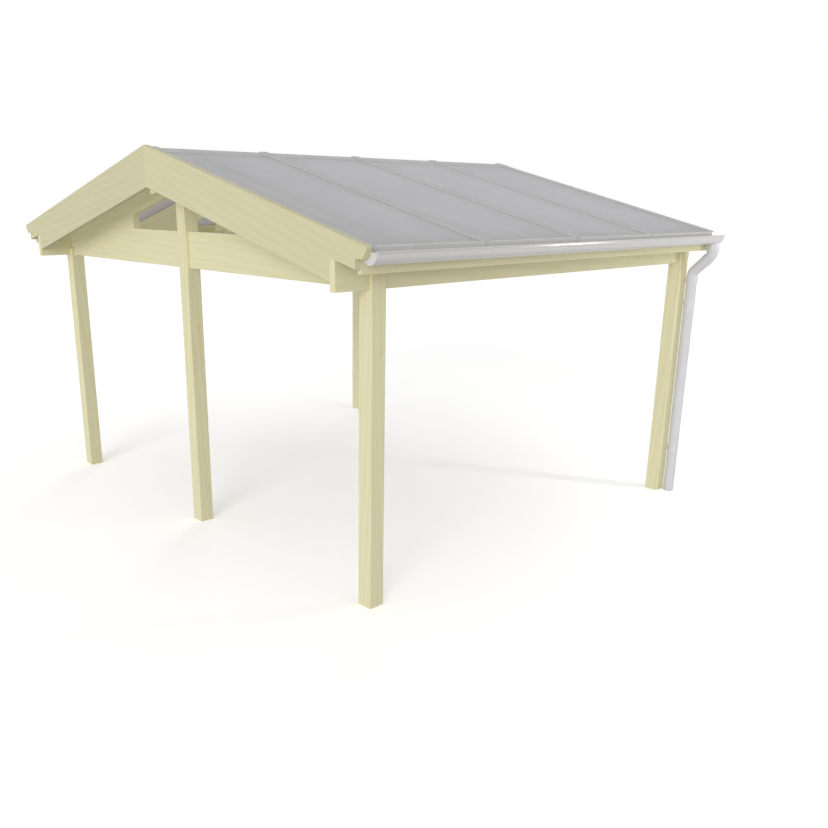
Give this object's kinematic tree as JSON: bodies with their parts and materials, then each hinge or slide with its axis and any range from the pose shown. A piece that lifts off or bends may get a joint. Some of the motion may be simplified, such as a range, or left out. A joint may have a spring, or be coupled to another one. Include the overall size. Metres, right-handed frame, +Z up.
{
  "type": "veranda frame",
  "caption": "Open gabled timber veranda frame on square posts, with tie beams, rafters, a low sheet roof, half-round gutters and downpipes.",
  "frame": {"origin": "middle of the overall ground plan, on the floor under the posts", "axes": "+X across the gable, to the right seen from the front; +Y from the front gable to the rear; +Z up"},
  "size_m": [4.814, 3.962, 2.9075],
  "materials": {
    "post_timber": "planed, clear",
    "beam_timber": "planed, clear",
    "rafter_timber": "planed, clear",
    "gable_timber": "planed, clear",
    "eaves_timber": "planed, clear",
    "roof_sheet": "opal, satin",
    "glazing_bar": "satin",
    "ridge_cap": "satin",
    "gutter": "satin",
    "downpipe": "satin",
    "bracket": "satin"
  },
  "bodies": {
    "root": {"bargeboard_front_left": "gable_timber", "bargeboard_front_right": "gable_timber", "bargeboard_rear_left": "gable_timber", "bargeboard_rear_right": "gable_timber", "downpipe_left": "downpipe", "downpipe_right": "downpipe", "fascia_left": "eaves_timber", "fascia_right": "eaves_timber", "front_tie_left": "beam_timber", "front_tie_right": "beam_timber", "gable_gussets": "beam_timber", "glazing_bars": "glazing_bar", "gutter_hangers": "bracket", "gutter_left": "gutter", "gutter_outlet_left": "gutter", "gutter_outlet_right": "gutter", "gutter_right": "gutter", "outlet_pipe_left": "downpipe", "outlet_pipe_right": "downpipe", "pipe_clips": "bracket", "post_front_centre": "post_timber", "post_front_left": "post_timber", "post_front_right": "post_timber", "post_rear_left": "post_timber", "post_rear_right": "post_timber", "rafter_left_1": "rafter_timber", "rafter_left_2": "rafter_timber", "rafter_left_3": "rafter_timber", "rafter_left_4": "rafter_timber", "rafter_left_5": "rafter_timber", "rafter_right_1": "rafter_timber", "rafter_right_2": "rafter_timber", "rafter_right_3": "rafter_timber", "rafter_right_4": "rafter_timber", "rafter_right_5": "rafter_timber", "rear_king_post": "beam_timber", "rear_tie": "beam_timber", "ridge_beam": "beam_timber", "ridge_cap": "ridge_cap", "roof_sheets_left": "roof_sheet", "roof_sheets_right": "roof_sheet", "swan_neck_left": "downpipe", "swan_neck_right": "downpipe", "wall_plate_left": "beam_timber", "wall_plate_right": "beam_timber"}
  },
  "joints": []
}
